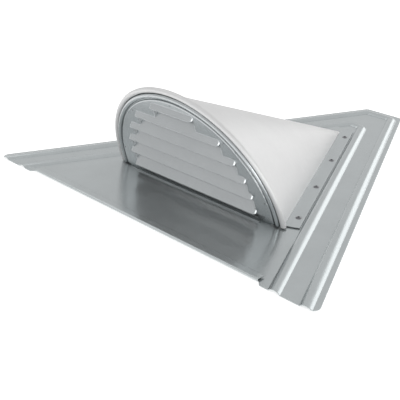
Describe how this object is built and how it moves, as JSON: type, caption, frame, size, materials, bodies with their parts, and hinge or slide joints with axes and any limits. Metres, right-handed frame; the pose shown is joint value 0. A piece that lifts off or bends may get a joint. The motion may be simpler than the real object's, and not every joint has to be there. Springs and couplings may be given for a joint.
{
  "type": "half-round roof vent",
  "caption": "Half-round roof vent of galvanised sheet: beaded trapezoid flashing, half-cone hood with a wired rim, stamped louver face leaning forward and a bird screen behind it.",
  "frame": {"origin": "middle of the flashing's outline, on its flat underside", "axes": "+X to the right seen from the louver face, +Y from the wide front edge to the narrow back edge (up the roof), +Z away from the roof"},
  "size_m": [0.5676, 0.5454, 0.1491],
  "materials": {
    "galvanised_sheet": "bright galvanised, semi-gloss with faint rolling grain",
    "steel_wire": "galvanised wire, satin",
    "rivet": "satin steel",
    "butyl": "matt dark sealing compound"
  },
  "bodies": {
    "root": {"base_flashing": "galvanised_sheet", "throat_collar": "galvanised_sheet", "hood_shell": "galvanised_sheet", "rim_wire": "steel_wire", "louver_panel": "galvanised_sheet", "screen_mesh": "steel_wire", "screen_hoop": "galvanised_sheet", "screen_hoop_rivets": "rivet", "screen_bar": "galvanised_sheet", "screen_bar_rivets": "rivet", "flange_rivets_right": "rivet", "flange_rivets_left": "rivet", "seal_strip_right": "butyl", "seal_strip_left": "butyl"}
  },
  "joints": []
}
